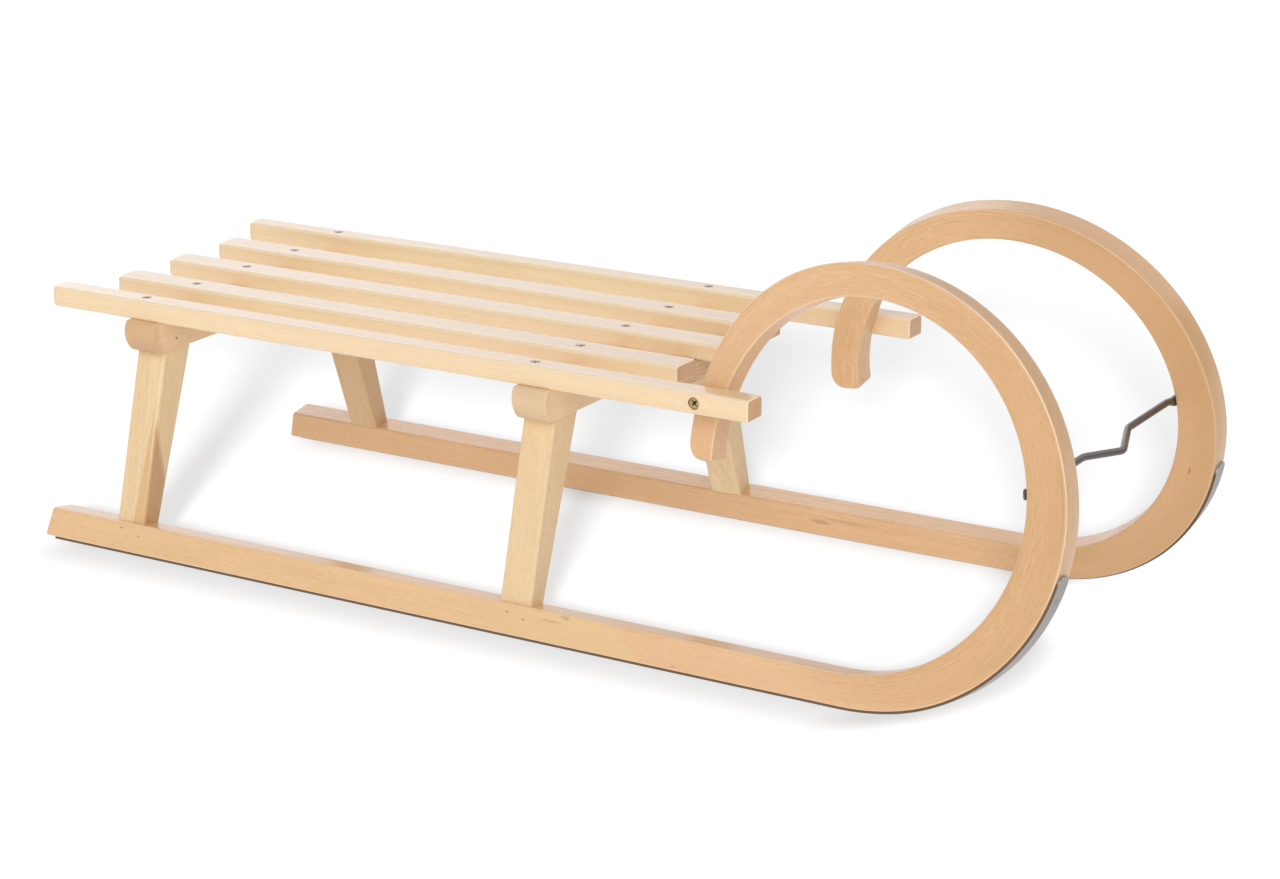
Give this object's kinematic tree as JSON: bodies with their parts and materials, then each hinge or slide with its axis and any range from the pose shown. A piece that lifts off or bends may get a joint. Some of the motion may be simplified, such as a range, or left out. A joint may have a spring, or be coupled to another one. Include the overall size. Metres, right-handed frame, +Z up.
{
  "type": "horn sled",
  "caption": "Wooden horn sled with steam-bent runners that rise into horns, a slatted seat on splayed legs, steel running strips and a steel pull bar.",
  "frame": {"origin": "on the floor under the middle of the sled: half way along its overall length and on its middle plane", "axes": "+X forward along the runners to the horns, +Y to the left of a rider who looks forward, +Z up from the floor"},
  "size_m": [1.0045, 0.3932, 0.3477],
  "materials": {
    "seat_beech": "clear lacquer, satin",
    "runner_beech": "clear lacquer, satin",
    "leg_beech": "clear lacquer, satin",
    "beam_beech": "clear lacquer, satin",
    "strip_steel": "cold rolled",
    "bar_steel": "dark oiled"
  },
  "bodies": {
    "root": {"beam_front": "beam_beech", "beam_rear": "beam_beech", "crossbar_front": "beam_beech", "leg_front_left": "leg_beech", "leg_front_right": "leg_beech", "leg_rear_left": "leg_beech", "leg_rear_right": "leg_beech", "pull_bar": "bar_steel", "runner_left": "runner_beech", "runner_right": "runner_beech", "running_strip_left": "strip_steel", "running_strip_right": "strip_steel", "slat_centre": "seat_beech", "slat_left_inner": "seat_beech", "slat_left_outer": "seat_beech", "slat_right_inner": "seat_beech", "slat_right_outer": "seat_beech"}
  },
  "joints": []
}
